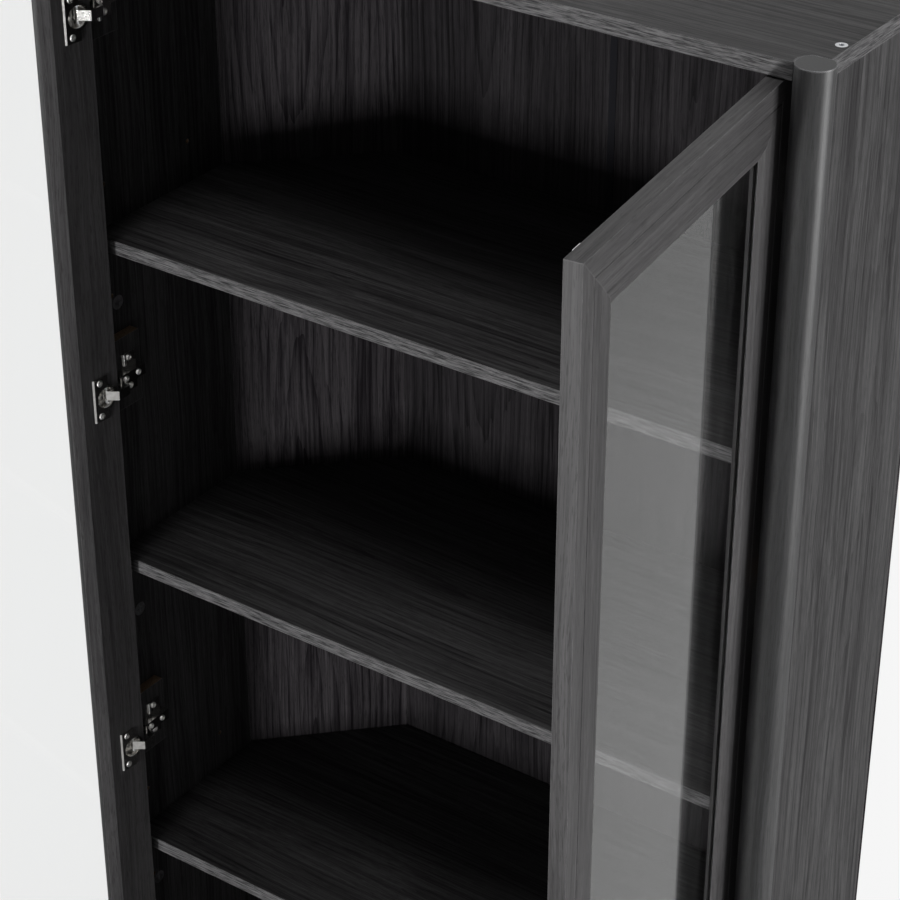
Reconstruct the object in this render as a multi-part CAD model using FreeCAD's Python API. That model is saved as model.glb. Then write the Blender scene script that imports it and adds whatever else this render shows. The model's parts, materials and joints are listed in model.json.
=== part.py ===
import FreeCAD, Part
import math
import os

# A bookcase with two glass doors, chamfered rear corners and round front posts.
# Millimetres. X runs to the right seen from the front, Y to the back, Z up.
# The origin lies on the floor at mid width, under the middle of the kick board.

# Driving dimensions of the carcass
WIDTH = 800.0  # over the outer faces of the sides
DEPTH = 368.0  # from the front edge of the top to the rear face of the back
HEIGHT = 1550.0
BOARD = 15.0
BACK = 3.0
CORNER_LEG = 146.5  # leg of each rear corner, cut at 45 degrees
SHELF_COUNT = 3
SHELF_SETBACK = 32.0
SHELF_PLAY = 0.5
SHELF_REAR_PLAY = 1.5
KICK_HEIGHT = 59.0
KICK_SETBACK = 30.0
JOINT_GAP = 0.3  # seam where a board is cut round a post

# Round front posts
POST_D = 33.0
POST_INSET = 6.0  # centre, in from the outer face of the side
POST_SETBACK = 8.2  # centre, behind the front edge of the top
POST_FLAT = 13.8  # centre to the flat that meets the side

# Doors
DOOR_T = 15.0
DOOR_OPEN = 97.0  # degrees, as the doors stand at rest
DOOR_GAP = 2.0  # above and below a door
MEET_GAP = 1.5  # from mid width to the free edge of a door
HINGE_GAP = 13.0  # from the side to the hinge edge of a closed door
FRAME_W = 46.0  # width of a member at its face and at its back
GROOVE_AT = 19.0  # middle of the decorative groove, in from the outer edge
GROOVE_HALF = 1.0
GROOVE_DEPTH = 0.9
SLOPE_AT = 31.0  # where the face starts to fall towards the glass
SLOPE_FALL = 0.8
LIP_W = 54.0  # tip of the lip in front of the pane, in from the outer edge
LIP_DEPTH = 3.5  # front of that tip, behind the outer face
LIP_T = 1.0
BEAD_W = 57.0  # tip of the sloped bead behind the pane, in from the outer edge
PANE_SEAT = 39.0  # bottom of the pane's groove, in from the outer edge
GLASS_T = 3.0
GLASS_PLAY = 1.0
TAPE_W = 5.0
TAPE_T = 0.5

# Hinges, one pin axis for each door
PIVOT_IN = 11.3  # pin axis, in from the hinge edge of the door
PIVOT_DEPTH = 9.7  # pin axis, behind the outer face of the closed door
HINGE_END = 112.5  # outer hinges, in from the door's ends
HINGE_SHELF = 145.5  # inner hinges, from the first and last shelf
CUP_R = 13.0
CUP_DEPTH = 11.5
CUP_WALL = 2.0
CUP_RIM = 14.0
CUP_IN = 17.0  # cup centre, in from the hinge edge
FLANGE_T = 1.5
FLANGE_NEAR = 14.0
FLANGE_FAR = 32.5
FLANGE_LENGTH = 48.0
CUP_SCREW_IN = 24.0
CUP_SCREW_PITCH = 37.0
PIN_R = 1.5
PIN_FIT = 0.05
PIN_END = 0.15  # from the pin's end to the outer face of the cup
KNUCKLE_R = 3.2
ARM_T = 2.4
ARM_W = 10.0
CHANNEL_W = 12.0
CHANNEL_WALL = 1.4
CHANNEL_RISE = 8.5
CHANNEL_FROM = 34.0  # behind the front edge of the top
CHANNEL_LENGTH = 38.0
NECK_IN = 24.5  # neck of the arm, in from the hinge edge of the closed door
NECK_BEND = 29.0  # bend of the neck, behind the front edge of the top
HOOK_RUN = 10.0  # from the elbow of the neck in to its toe
ELBOW_BACK = 4.0  # behind the pin axis
TOE_FRONT = 3.0  # in front of the pin axis
PLATE_T = 2.0
PLATE_WING = 44.0
PLATE_WING_W = 20.0
PLATE_SETBACK = 58.0  # middle of the wings, behind the front edge of the top
PLATE_SCREW_PITCH = 32.0
BLOCK_T = 11.0
BLOCK_FROM = 27.0  # behind the front edge of the top
BLOCK_LENGTH = 50.0
BLOCK_HEIGHT = 80.0

# Fastenings, each a list of (radius, end radius, length) steps from the head down
PANEL_SCREW = [(5.0, 3.5, 3.0), (3.5, 3.5, 9.0), (2.5, 2.5, 33.0)]
PANEL_SCREW_HEX = 4.0
PANEL_SCREW_FRONT = 52.0  # behind the front edge of the top
PANEL_SCREW_REAR = 28.5  # in from the rear edge of the side
CUP_SCREW = [(3.5, 1.75, 2.0), (1.75, 1.75, 10.0)]
PLATE_SCREW = [(3.5, 3.5, 2.0), (1.75, 1.75, 19.0)]
ARM_SCREW_HEAD = (3.2, 3.2, 1.8)
ARM_SCREW_R = 2.0
ARM_SCREW_SPOTS = (10.0, 28.0)  # along the channel
NAIL = [(2.25, 2.25, 1.0), (0.8, 0.8, 12.0)]
NAIL_EDGE = 10.0
SIDE_NAIL_COUNT = 6
CORNER_NAIL_COUNT = 2
BACK_NAIL_COUNT = 3
CAM_R = 7.5
CAM_DEPTH = 12.0
CAM_SETBACK = 40.0  # cam centre, behind the front edge of the side
CAM_TOP = 45.0  # uppermost cam, below the top panel
CAM_SHELF = 73.0  # other cams, below each shelf
CAM_SLOT = (1.8, 9.0, 1.5)  # width, length and depth of the cross slot
CAM_BOLT_HOLE = 3.5
CAM_BOLT = [(2.5, 2.5, 11.0), (2.0, 2.0, 35.0), (3.2, 3.2, 5.0)]
PIN_PEG_R = 2.5
PIN_FLAT = 2.0  # peg axis to the flat under the shelf
PIN_IN = 9.0
PIN_OUT = 8.0
PIN_FRONT = 54.0  # behind the front edge of the top
PIN_REAR = 54.0  # in from the rear edge of the side's inner face
PIN_STEP = 61.0  # to the spare holes above and below
DOWEL_R = 4.0
DOWEL_IN_SIDE = 10.0
DOWEL_IN_KICK = 20.0
MITRE_DOWEL_R = 3.0
MITRE_DOWEL_HALF = 12.0
MITRE_DOWEL_SPOTS = (14.0, 30.0)  # along the mitre, in from the outer edge

# Joining strip of the back
STRIP_W = 8.0
STRIP_LIP = 0.8
STRIP_WEB = 1.2

# Magnetic catch and door furniture
STRIKE_IN = 17.0  # in from the free edge of the door
STRIKE_W = 12.0
STRIKE_H = 30.0
STRIKE_T = 1.5
STRIKE_DROP = 1.0
CATCH_GAP = 0.5
CATCH_W = 68.0
CATCH_D = 18.0
CATCH_H = 12.0
MAGNET_D = 5.0
MAGNET_H = 8.0
CATCH_SCREW = [(3.5, 3.5, 2.0), (1.75, 1.75, 22.0)]
CATCH_SCREW_X = 9.0
KNOB_IN = 24.0
KNOB = [(7.0, 6.0, 12.0), (12.0, 12.0, 8.0)]
KNOB_SCREW_HEAD = (4.0, 4.0, 2.5)
KNOB_SCREW_R = 2.0
KNOB_SCREW_GRIP = 10.0

# Planes and lengths that follow from the driving dimensions
FRONT = -(KICK_SETBACK + BOARD / 2)
REAR = FRONT + DEPTH - BACK
HALF = WIDTH / 2
INNER = HALF - BOARD
SIDE_MID = HALF - BOARD / 2
TOP_UNDER = HEIGHT - BOARD
FLOOR_UNDER = KICK_HEIGHT
FLOOR_TOP = FLOOR_UNDER + BOARD
FLOOR_MID = FLOOR_UNDER + BOARD / 2
COMPARTMENT = (TOP_UNDER - FLOOR_TOP - SHELF_COUNT * BOARD) / (SHELF_COUNT + 1)
TOP_MID = HEIGHT - BOARD / 2
SIDE_REAR = REAR - CORNER_LEG
POST_R = POST_D / 2
POST_X = HALF - POST_INSET
POST_Y = FRONT + POST_SETBACK
SIDE_FRONT = POST_Y + POST_FLAT
DOOR_LOW = FLOOR_TOP + DOOR_GAP
DOOR_HIGH = TOP_UNDER - DOOR_GAP
DOOR_H = DOOR_HIGH - DOOR_LOW
HINGE_EDGE = INNER - HINGE_GAP
DOOR_W = HINGE_EDGE - MEET_GAP
DOOR_MID = (DOOR_LOW + DOOR_HIGH) / 2
DOOR_BACK = FRONT + DOOR_T
PANE_DEPTH = LIP_DEPTH + LIP_T
PANE_BACK = PANE_DEPTH + TAPE_T + GLASS_T
PIVOT_X = HINGE_EDGE - PIVOT_IN
PIVOT_Y = FRONT + PIVOT_DEPTH
SHELF_TOPS = [TOP_UNDER - (k + 1) * COMPARTMENT - k * BOARD for k in range(SHELF_COUNT)]
HINGE_HEIGHTS = [DOOR_HIGH - HINGE_END, SHELF_TOPS[0] - BOARD - HINGE_SHELF,
                 SHELF_TOPS[-1] + HINGE_SHELF, DOOR_LOW + HINGE_END]
PIN_ROWS = (FRONT + PIN_FRONT, SIDE_REAR + BOARD - PIN_REAR)
BLOCK_FACE = INNER - BLOCK_T
PLATE_FACE = BLOCK_FACE - PLATE_T
CHANNEL_FACE = PLATE_FACE - CHANNEL_RISE
PLATE_MID = FRONT + PLATE_SETBACK

V = FreeCAD.Vector
RIGHT = V(1, 0, 0)
BACKWARD = V(0, 1, 0)
UP = V(0, 0, 1)


def box(x, y, z):
    """Return a box between the low and high values of each axis."""
    return Part.makeBox(x[1] - x[0], y[1] - y[0], z[1] - z[0], V(x[0], y[0], z[0]))


def plate(points, sweep):
    """Return the polygon through the points, swept along a vector."""
    return Part.Face(Part.makePolygon(points + points[:1])).extrude(sweep)


def prism(outline, z):
    """Return a plan outline raised from the low to the high level."""
    return plate([V(x, y, z[0]) for x, y in outline], UP * (z[1] - z[0]))


def turned(start, direction, steps):
    """Return a turned piece whose steps follow each other along the direction."""
    pieces = []
    at = start
    for low, high, length in steps:
        if low == high:
            pieces.append(Part.makeCylinder(low, length, at, direction))
        else:
            pieces.append(Part.makeCone(low, high, length, at, direction))
        at = at + direction * length
    first = pieces[0]
    return first.fuse(pieces[1:]).removeSplitter() if pieces[1:] else first


def mirrored(shapes):
    """Return the shapes reflected to the other side of the bookcase."""
    return [shape.mirror(V(0, 0, 0), RIGHT) for shape in shapes]


def both(shapes):
    """Return the shapes of the left side together with those of the right."""
    return shapes + mirrored(shapes)


def swung(shapes):
    """Return the pieces of the closed left door, turned to where it stands open."""
    return [shape.rotated(V(-PIVOT_X, PIVOT_Y, 0), UP, -DOOR_OPEN) for shape in shapes]


def save(node, shapes):
    """Write one node with all its solids."""
    solids = [solid for shape in shapes for solid in shape.Solids]
    Part.makeCompound(solids).exportStep(f"parts/{node}.step")


def save_pair(name, shapes):
    """Write a node for the left side and its reflection for the right."""
    save(f"left_{name}", shapes)
    save(f"right_{name}", mirrored(shapes))


def board_outline(half, side_rear, front):
    """Return a board's plan outline, its rear corners cut at 45 degrees."""
    rear_half = HALF - CORNER_LEG
    right = [(half, front), (half, side_rear), (rear_half, REAR)]
    return right + [(-x, y) for x, y in reversed(right)]


def post_column(grow):
    """Return the left post, grown all round by a gap."""
    column = Part.makeCylinder(POST_R + grow, HEIGHT, V(-POST_X, POST_Y, 0))
    behind = box((-WIDTH, 0), (SIDE_FRONT + grow, REAR), (0, HEIGHT))
    return column.cut(behind)


def panel_screws():
    """Return the left screws that hold the side to the top and to the bottom."""
    spots = [FRONT + PANEL_SCREW_FRONT, SIDE_REAR - PANEL_SCREW_REAR]
    upper = [turned(V(-SIDE_MID, y, HEIGHT), -UP, PANEL_SCREW) for y in spots]
    lower = [turned(V(-HALF, y, FLOOR_MID), RIGHT, PANEL_SCREW) for y in spots]
    return upper + lower


def with_sockets(screws):
    """Return the panel screws with a six-sided socket in each head."""
    depth = PANEL_SCREW[0][2]
    reach = PANEL_SCREW_HEX / 2 / math.cos(math.pi / 6)
    corners = [(reach * math.cos(k * math.pi / 3), reach * math.sin(k * math.pi / 3)) for k in range(6)]
    socketed = []
    for screw in screws:
        limits = screw.BoundBox
        if limits.ZLength > limits.XLength:
            ring = [V(limits.Center.x + a, limits.Center.y + b, HEIGHT) for a, b in corners]
            socketed.append(screw.cut(plate(ring, -UP * depth)))
        else:
            ring = [V(-HALF, limits.Center.y + a, limits.Center.z + b) for a, b in corners]
            socketed.append(screw.cut(plate(ring, RIGHT * depth)))
    return socketed


def cam_levels():
    """Return the heights of the cams that draw a post to its side."""
    return [TOP_UNDER - CAM_TOP] + [level - BOARD - CAM_SHELF for level in SHELF_TOPS]


def cam_bolts():
    """Return the left bolts, screwed into the post."""
    start = SIDE_FRONT - CAM_BOLT[0][2]
    return [turned(V(-SIDE_MID, start, z), BACKWARD, CAM_BOLT) for z in cam_levels()]


def cam_bodies():
    """Return the left cams as plain discs in the inner face of the side."""
    y = SIDE_FRONT + CAM_SETBACK
    return [Part.makeCylinder(CAM_R, CAM_DEPTH, V(-INNER, y, z), -RIGHT) for z in cam_levels()]


def cam_bolt_holes():
    """Return the left holes that the bolts run through, from the side's edge to the cam."""
    return [Part.makeCylinder(CAM_BOLT_HOLE, CAM_SETBACK, V(-SIDE_MID, SIDE_FRONT, z), BACKWARD)
            for z in cam_levels()]


def cams():
    """Return the left cams with a cross slot and the pocket for the bolt's head."""
    width, length, depth = CAM_SLOT
    y = SIDE_FRONT + CAM_SETBACK
    x = (-INNER - depth, -INNER)
    finished = []
    for body, hole, z in zip(cam_bodies(), cam_bolt_holes(), cam_levels()):
        upright = box(x, (y - width / 2, y + width / 2), (z - length / 2, z + length / 2))
        level = box(x, (y - length / 2, y + length / 2), (z - width / 2, z + width / 2))
        finished.append(body.cut([upright, level, hole]))
    return finished


def shelf_pins():
    """Return the left pins under the shelves, with a flat where a shelf rests."""
    pins = []
    for level in SHELF_TOPS:
        under = level - BOARD
        for y in PIN_ROWS:
            start = V(-INNER - PIN_IN, y, under - PIN_FLAT)
            peg = Part.makeCylinder(PIN_PEG_R, PIN_IN + PIN_OUT, start, RIGHT)
            over = box((-INNER, 0), (y - BOARD, y + BOARD), (under, under + BOARD))
            pins.append(peg.cut(over))
    return pins


def shelf_pin_holes():
    """Return the left holes for the pins, with spare ones round the first and last shelf."""
    holes = []
    for level in SHELF_TOPS:
        spare = (-PIN_STEP, 0, PIN_STEP) if level in (SHELF_TOPS[0], SHELF_TOPS[-1]) else (0,)
        for y in PIN_ROWS:
            for step in spare:
                z = level - BOARD - PIN_FLAT + step
                holes.append(Part.makeCylinder(PIN_PEG_R, PIN_IN, V(-INNER, y, z), -RIGHT))
    return holes


def kick_dowels():
    """Return the left dowels between the side and the kick board."""
    start = -INNER - DOWEL_IN_SIDE
    return [Part.makeCylinder(DOWEL_R, DOWEL_IN_SIDE + DOWEL_IN_KICK, V(start, 0, z), RIGHT)
            for z in (FLOOR_UNDER / 4, FLOOR_UNDER * 3 / 4)]


def spread(length, count):
    """Return the middles of equal parts of a length."""
    return [length * (k + 0.5) / count for k in range(count)]


def nails():
    """Return the left nails that hold the back, their heads flush with it."""
    inward = V(1, -1, 0).normalize()
    along = V(1, 1, 0).normalize()
    corner = V(-HALF, SIDE_REAR, 0) - inward * BACK
    spots = []
    for step in spread(TOP_UNDER - FLOOR_TOP, SIDE_NAIL_COUNT):
        spots.append((corner + along * NAIL_EDGE + UP * (FLOOR_TOP + step), inward))
    for z in (FLOOR_MID, TOP_MID):
        spots += [(corner + along * step + UP * z, inward)
                  for step in spread(CORNER_LEG * math.sqrt(2), CORNER_NAIL_COUNT)]
        spots += [(V(-step, REAR + BACK, z), -BACKWARD)
                  for step in spread(HALF - CORNER_LEG, BACK_NAIL_COUNT)]
    return [turned(start, direction, NAIL) for start, direction in spots]


def top_panel(bores):
    """Return the top, cut round both posts."""
    panel = prism(board_outline(HALF, SIDE_REAR, FRONT), (TOP_UNDER, HEIGHT))
    return panel.cut(both([post_column(JOINT_GAP)]) + bores)


def bottom_panel(bores):
    """Return the bottom, which stands between the sides and is cut round both posts."""
    panel = prism(board_outline(INNER, SIDE_REAR + BOARD, FRONT), (FLOOR_UNDER, FLOOR_TOP))
    return panel.cut(both([post_column(JOINT_GAP)]) + bores)


def shelf(level):
    """Return the shelf whose top lies at a level, with play to the sides and the back."""
    half = INNER - SHELF_PLAY
    rear = REAR - SHELF_REAR_PLAY
    diagonal = HALF + SIDE_REAR - SHELF_REAR_PLAY
    right = [(half, FRONT + SHELF_SETBACK), (half, diagonal - half), (diagonal - rear, rear)]
    outline = right + [(-x, y) for x, y in reversed(right)]
    return prism(outline, (level - BOARD, level))


def side_panel(bores):
    """Return the left side, its rear edge cut at 45 degrees for the corner back."""
    outline = [(-HALF, SIDE_FRONT), (-INNER, SIDE_FRONT), (-INNER, SIDE_REAR + BOARD), (-HALF, SIDE_REAR)]
    return prism(outline, (0, TOP_UNDER)).cut(bores)


def kick_board(bores):
    """Return the board that closes the space under the bottom."""
    return box((-INNER, INNER), (-BOARD / 2, BOARD / 2), (0, FLOOR_UNDER)).cut(bores)


def corner_back(bores):
    """Return the left diagonal back, mitred where it meets the flat back."""
    rear_half = HALF - CORNER_LEG
    out = BACK / math.sqrt(2)
    mitre = BACK * math.tan(math.pi / 8)
    end = V(-HALF + out, SIDE_REAR + out, 0)
    outline = [(end.x, end.y), (-rear_half, REAR), (-rear_half - mitre, REAR + BACK),
               (end.x - out, end.y + out)]
    return prism(outline, (FLOOR_UNDER, HEIGHT)).cut(bores)


def flat_back(bores):
    """Return the left half of the flat back."""
    rear_half = HALF - CORNER_LEG
    mitre = BACK * math.tan(math.pi / 8)
    edge = -STRIP_WEB / 2
    outline = [(-rear_half, REAR), (edge, REAR), (edge, REAR + BACK), (-rear_half - mitre, REAR + BACK)]
    return prism(outline, (FLOOR_UNDER, HEIGHT)).cut(bores)


def back_strip():
    """Return the joining strip whose lips hold both halves of the flat back."""
    z = (FLOOR_TOP, TOP_UNDER)
    lip = (-STRIP_W / 2, STRIP_W / 2)
    web = box((-STRIP_WEB / 2, STRIP_WEB / 2), (REAR, REAR + BACK), z)
    inside = box(lip, (REAR - STRIP_LIP, REAR), z)
    outside = box(lip, (REAR + BACK, REAR + BACK + STRIP_LIP), z)
    return web.fuse([inside, outside]).removeSplitter()


def plate_screws():
    """Return the left screws through plate and block into the side."""
    half = PLATE_SCREW_PITCH / 2
    start = -(PLATE_FACE - PLATE_SCREW[0][2])
    return [turned(V(start, PLATE_MID, z + step), -RIGHT, PLATE_SCREW)
            for z in HINGE_HEIGHTS for step in (-half, half)]


def arm_screws():
    """Return the left screws that fix the arms to their plates."""
    start = -(CHANNEL_FACE - ARM_SCREW_HEAD[2])
    grip = CHANNEL_RISE + PLATE_T
    steps = [ARM_SCREW_HEAD, (ARM_SCREW_R, ARM_SCREW_R, grip)]
    return [turned(V(start, FRONT + CHANNEL_FROM + spot, z), -RIGHT, steps)
            for z in HINGE_HEIGHTS for spot in ARM_SCREW_SPOTS]


def hinge_blocks(bores):
    """Return the left blocks that bring the plates in from the side."""
    y = (FRONT + BLOCK_FROM, FRONT + BLOCK_FROM + BLOCK_LENGTH)
    half = BLOCK_HEIGHT / 2
    return [box((-INNER, -BLOCK_FACE), y, (z - half, z + half)).cut(bores) for z in HINGE_HEIGHTS]


def hinge_plates(bores):
    """Return the left mounting plates, each a cross with two wings."""
    x = (-BLOCK_FACE, -PLATE_FACE)
    plates = []
    for z in HINGE_HEIGHTS:
        wing = (PLATE_MID - PLATE_WING_W / 2, PLATE_MID + PLATE_WING_W / 2)
        wings = box(x, wing, (z - PLATE_WING / 2, z + PLATE_WING / 2))
        foot = (FRONT + CHANNEL_FROM, FRONT + CHANNEL_FROM + CHANNEL_LENGTH)
        bed = box(x, foot, (z - CHANNEL_W / 2, z + CHANNEL_W / 2))
        plates.append(wings.fuse(bed).removeSplitter().cut(bores))
    return plates


def bent_strip(points, thickness, z):
    """Return an upright strip that follows the plan points, rounded at its bends."""
    height = z[1] - z[0]
    pieces = []
    for (x0, y0), (x1, y1) in zip(points, points[1:]):
        run = V(x1 - x0, y1 - y0, 0)
        side = V(-run.y, run.x, 0).normalize() * (thickness / 2)
        low = V(x0, y0, z[0])
        high = V(x1, y1, z[0])
        pieces.append(plate([low + side, high + side, high - side, low - side], UP * height))
    for x, y in points[1:-1]:
        pieces.append(Part.makeCylinder(thickness / 2, height, V(x, y, z[0])))
    return pieces[0].fuse(pieces[1:])


def hinge_arms(bores):
    """Return the left arms: a channel over the plate and a neck that hooks into the cup."""
    y = (FRONT + CHANNEL_FROM, FRONT + CHANNEL_FROM + CHANNEL_LENGTH)
    neck_x = -(HINGE_EDGE - NECK_IN)
    root = (-CHANNEL_FACE - CHANNEL_WALL / 2, y[0] + ARM_T)
    bend = (neck_x, FRONT + NECK_BEND)
    elbow = (neck_x, PIVOT_Y + ELBOW_BACK)
    toe = (neck_x - HOOK_RUN, PIVOT_Y - TOE_FRONT)
    path = [root, bend, elbow, toe, (-PIVOT_X, PIVOT_Y)]
    arms = []
    for z in HINGE_HEIGHTS:
        outside = box((-PLATE_FACE, -CHANNEL_FACE), y, (z - CHANNEL_W / 2, z + CHANNEL_W / 2))
        half = CHANNEL_W / 2 - CHANNEL_WALL
        inside = box((-PLATE_FACE, -CHANNEL_FACE - CHANNEL_WALL), y, (z - half, z + half))
        span = (z - ARM_W / 2, z + ARM_W / 2)
        neck = bent_strip(path, ARM_T, span)
        foot = V(-PIVOT_X, PIVOT_Y, span[0])
        knuckle = Part.makeCylinder(KNUCKLE_R, ARM_W, foot)
        eye = Part.makeCylinder(PIN_R + PIN_FIT, ARM_W, foot)
        whole = outside.cut(inside).fuse([neck, knuckle]).removeSplitter()
        arms.append(whole.cut([eye] + bores))
    return arms


def cup_screws():
    """Return the screws that hold the cups in the closed left door."""
    half = CUP_SCREW_PITCH / 2
    x = -HINGE_EDGE + CUP_SCREW_IN
    return [turned(V(x, DOOR_BACK + FLANGE_T, z + step), -BACKWARD, CUP_SCREW)
            for z in HINGE_HEIGHTS for step in (-half, half)]


def cup_bores():
    """Return the round holes for the cups in the closed left door."""
    x = -HINGE_EDGE + CUP_IN
    return [Part.makeCylinder(CUP_R, CUP_DEPTH, V(x, DOOR_BACK, z), -BACKWARD) for z in HINGE_HEIGHTS]


def hinge_pins():
    """Return the pins across the cups of the closed left door."""
    offset = CUP_IN - PIVOT_IN
    half = math.sqrt((CUP_R - PIN_END) ** 2 - (offset + PIN_R) ** 2)
    return [Part.makeCylinder(PIN_R, 2 * half, V(-PIVOT_X, PIVOT_Y, z - half)) for z in HINGE_HEIGHTS]


def hinge_cups():
    """Return the flanged cups of the closed left door."""
    y = (DOOR_BACK, DOOR_BACK + FLANGE_T)
    x = -HINGE_EDGE + CUP_IN
    near = -HINGE_EDGE + FLANGE_NEAR
    far = -HINGE_EDGE + FLANGE_FAR
    outline = [(near, y[0]), (far, y[0]), (far - FLANGE_T, y[1]), (near, y[1])]
    cups = []
    for z, body in zip(HINGE_HEIGHTS, cup_bores()):
        flange = prism(outline, (z - FLANGE_LENGTH / 2, z + FLANGE_LENGTH / 2))
        ring = Part.makeCylinder(CUP_RIM, FLANGE_T, V(x, y[0], z), BACKWARD)
        hollow = Part.makeCylinder(CUP_R - CUP_WALL, CUP_DEPTH, V(x, y[1], z), -BACKWARD)
        whole = body.fuse([flange, ring]).removeSplitter()
        cups.append(whole.cut([hollow] + hinge_pins() + cup_screws()))
    return cups


def frame_member(corner, across, along, length):
    """Return a door frame member with its moulded face and mitred ends.

    The corner lies on the outer face at the outer edge. The width runs across
    towards the glass and the length runs along.
    """
    section = [(0, 0), (GROOVE_AT - GROOVE_HALF, 0), (GROOVE_AT, GROOVE_DEPTH), (GROOVE_AT + GROOVE_HALF, 0),
               (SLOPE_AT, 0), (FRAME_W, SLOPE_FALL), (LIP_W, LIP_DEPTH), (LIP_W, PANE_DEPTH),
               (PANE_SEAT, PANE_DEPTH), (PANE_SEAT, PANE_BACK), (BEAD_W, PANE_BACK), (FRAME_W, DOOR_T), (0, DOOR_T)]
    bar = plate([corner + across * s + BACKWARD * d for s, d in section], along * length)
    reach = max(LIP_W, BEAD_W)
    face = [(0, 0), (reach, reach), (reach, length - reach), (0, length)]
    mitres = plate([corner + across * s + along * t for s, t in face], BACKWARD * DOOR_T)
    return bar.common(mitres)


def door_corners():
    """Return each corner of the closed left door with its two inward directions."""
    x = (-HINGE_EDGE, -MEET_GAP)
    z = (DOOR_LOW, DOOR_HIGH)
    return [(V(x[i], FRONT, z[k]), RIGHT * (1 - 2 * i), UP * (1 - 2 * k)) for i in (0, 1) for k in (0, 1)]


def mitre_dowels():
    """Return the dowels across the mitres of the closed left door."""
    dowels = []
    for corner, across, upward in door_corners():
        direction = (across - upward).normalize()
        for spot in MITRE_DOWEL_SPOTS:
            middle = corner + (across + upward) * spot + BACKWARD * (DOOR_T / 2)
            start = middle - direction * MITRE_DOWEL_HALF
            dowels.append(Part.makeCylinder(MITRE_DOWEL_R, 2 * MITRE_DOWEL_HALF, start, direction))
    return dowels


def glass_pane():
    """Return the pane of the closed left door, in the frame's groove behind the tape."""
    edge = PANE_SEAT + GLASS_PLAY
    near = FRONT + PANE_DEPTH + TAPE_T
    return box((-HINGE_EDGE + edge, -MEET_GAP - edge), (near, near + GLASS_T),
               (DOOR_LOW + edge, DOOR_HIGH - edge))


def glazing_tape():
    """Return the strips of tape between the groove and the pane."""
    edge = PANE_SEAT + GLASS_PLAY
    near = FRONT + PANE_DEPTH
    y = (near, near + TAPE_T)
    x = (-HINGE_EDGE + edge, -MEET_GAP - edge)
    z = (DOOR_LOW + edge, DOOR_HIGH - edge)
    between = (z[0] + TAPE_W, z[1] - TAPE_W)
    return [box(x, y, (z[0], z[0] + TAPE_W)), box(x, y, (z[1] - TAPE_W, z[1])),
            box((x[0], x[0] + TAPE_W), y, between), box((x[1] - TAPE_W, x[1]), y, between)]


def strike_plate():
    """Return the steel plate that the catch holds, on the back of the closed left door."""
    x = -MEET_GAP - STRIKE_IN
    z = DOOR_HIGH - STRIKE_DROP
    return box((x - STRIKE_W, x), (DOOR_BACK, DOOR_BACK + STRIKE_T), (z - STRIKE_H, z))


def knob_screw():
    """Return the screw through the closed left door into its knob."""
    start = V(-MEET_GAP - KNOB_IN, DOOR_BACK + KNOB_SCREW_HEAD[2], DOOR_MID)
    shank = (KNOB_SCREW_R, KNOB_SCREW_R, DOOR_T + KNOB_SCREW_GRIP)
    return turned(start, -BACKWARD, [KNOB_SCREW_HEAD, shank])


def knob():
    """Return the knob on the face of the closed left door."""
    return turned(V(-MEET_GAP - KNOB_IN, FRONT, DOOR_MID), -BACKWARD, KNOB).cut(knob_screw())


def catch_magnets():
    """Return the two magnets, each facing one strike plate."""
    x = -MEET_GAP - STRIKE_IN
    y = DOOR_BACK + STRIKE_T + CATCH_GAP
    drop = (CATCH_H - MAGNET_H) / 2
    return both([box((x - STRIKE_W, x), (y, y + MAGNET_D), (TOP_UNDER - CATCH_H + drop, TOP_UNDER - drop))])


def catch_screws():
    """Return the screws that hold the catch under the top."""
    y = DOOR_BACK + STRIKE_T + CATCH_GAP + CATCH_D / 2
    low = TOP_UNDER - CATCH_H - CATCH_SCREW[0][2]
    return both([turned(V(-CATCH_SCREW_X, y, low), UP, CATCH_SCREW)])


def catch_body():
    """Return the housing of the double catch under the top."""
    y = DOOR_BACK + STRIKE_T + CATCH_GAP
    body = box((-CATCH_W / 2, CATCH_W / 2), (y, y + CATCH_D), (TOP_UNDER - CATCH_H, TOP_UNDER))
    return body.cut(catch_magnets() + catch_screws())


def build_carcass():
    """Write the boards, posts, backs and their fastenings."""
    screws = panel_screws()
    tacks = nails()
    side_bores = (screws + tacks + cam_bodies() + cam_bolt_holes() + shelf_pin_holes()
                  + kick_dowels() + plate_screws())
    save("top_panel", [top_panel(both(screws + tacks) + catch_screws())])
    save("bottom_panel", [bottom_panel(both(screws + tacks))])
    save_pair("side", [side_panel(side_bores)])
    save_pair("post", [post_column(0).cut(cam_bolts())])
    for level, name in zip(SHELF_TOPS, ("upper_shelf", "middle_shelf", "lower_shelf")):
        save(name, [shelf(level)])
    save("kick_board", [kick_board(both(kick_dowels()))])
    save_pair("corner_back", [corner_back(tacks)])
    save_pair("back", [flat_back(tacks)])
    save("back_strip", [back_strip()])
    save("back_nails", both(tacks))
    save("panel_screws", both(with_sockets(screws)))
    save("post_cams", both(cams()))
    save("post_bolts", both(cam_bolts()))
    save("kick_dowels", both(kick_dowels()))
    save("shelf_pins", both(shelf_pins()))


def build_hinges():
    """Write the hinge pieces that stay with the carcass, and the catch."""
    fixing = plate_screws()
    clamping = arm_screws()
    save_pair("hinge_blocks", hinge_blocks(fixing))
    save_pair("hinge_plates", hinge_plates(fixing + clamping))
    save_pair("hinge_arms", hinge_arms(clamping))
    save("plate_screws", both(fixing))
    save("arm_screws", both(clamping))
    save("catch_body", [catch_body()])
    save("catch_magnets", catch_magnets())
    save("catch_screws", catch_screws())


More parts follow.
